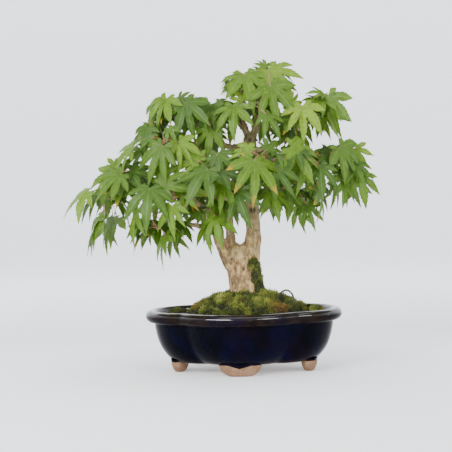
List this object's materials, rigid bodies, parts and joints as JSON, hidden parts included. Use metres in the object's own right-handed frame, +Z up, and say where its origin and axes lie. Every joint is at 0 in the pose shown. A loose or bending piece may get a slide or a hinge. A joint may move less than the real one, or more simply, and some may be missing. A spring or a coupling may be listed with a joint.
{
  "type": "bonsai tree in a pot",
  "caption": "Japanese maple bonsai with a forked trunk and palmate leaves, growing from a moss mound in a four-lobed glazed pot on four feet.",
  "frame": {"origin": "centre of the object's box in plan, on the surface that the pot's feet stand on", "axes": "+Z up, X along the pot's long side with the crown's low branches towards -X, front of the tree towards -Y"},
  "size_m": [0.2698, 0.1684, 0.2688],
  "materials": {
    "navy_glaze": "gloss",
    "soil_grains": "matte",
    "moss": "matte",
    "bark": "matte",
    "leaf_green": "satin",
    "leaf_pale": "satin",
    "mesh_plastic": "matte",
    "wire": "satin"
  },
  "bodies": {
    "root": {"anchor_wire": "wire", "branch_back": "bark", "branch_back_right": "bark", "branch_far_left": "bark", "branch_front": "bark", "branch_front_right": "bark", "branch_low_left": "bark", "branch_right": "bark", "branch_right_low": "bark", "branch_shoulder_left": "bark", "branch_upper_left": "bark", "branch_upper_right": "bark", "drainage_mesh_left": "mesh_plastic", "drainage_mesh_right": "mesh_plastic", "leader_left": "bark", "leader_right": "bark", "moss_mound": "moss", "moss_on_trunk": "moss", "moss_patch_left": "moss", "moss_patch_right": "moss", "pot": "navy_glaze", "soil": "soil_grains", "spray_centre": "leaf_green", "spray_centre_back": "leaf_green", "spray_crown_inner": "leaf_green", "spray_crown_inner_back": "leaf_green", "spray_crown_inner_left": "leaf_green", "spray_crown_left": "leaf_green", "spray_crown_right": "leaf_pale", "spray_crown_right_back": "leaf_pale", "spray_crown_top": "leaf_green", "spray_far_left": "leaf_pale", "spray_far_left_back": "leaf_pale", "spray_far_right": "leaf_green", "spray_far_right_back": "leaf_green", "spray_far_right_upper": "leaf_green", "spray_far_right_upper_back": "leaf_green", "spray_inner_left": "leaf_green", "spray_inner_left_back": "leaf_green", "spray_low_centre": "leaf_green", "spray_low_centre_back": "leaf_green", "spray_low_inner_left": "leaf_pale", "spray_low_inner_left_back": "leaf_pale", "spray_low_left": "leaf_green", "spray_low_left_back": "leaf_green", "spray_low_right": "leaf_green", "spray_low_right_back": "leaf_green", "spray_middle_left": "leaf_green", "spray_middle_left_back": "leaf_green", "spray_middle_right": "leaf_green", "spray_middle_right_back": "leaf_green", "spray_shoulder_left": "leaf_green", "spray_shoulder_right": "leaf_pale", "spray_star_left": "leaf_green", "spray_star_left_back": "leaf_green", "spray_top_left": "leaf_green", "spray_top_left_back": "leaf_green", "spray_upper_left": "leaf_green", "spray_upper_left_back": "leaf_green", "trunk": "bark"}
  },
  "joints": []
}
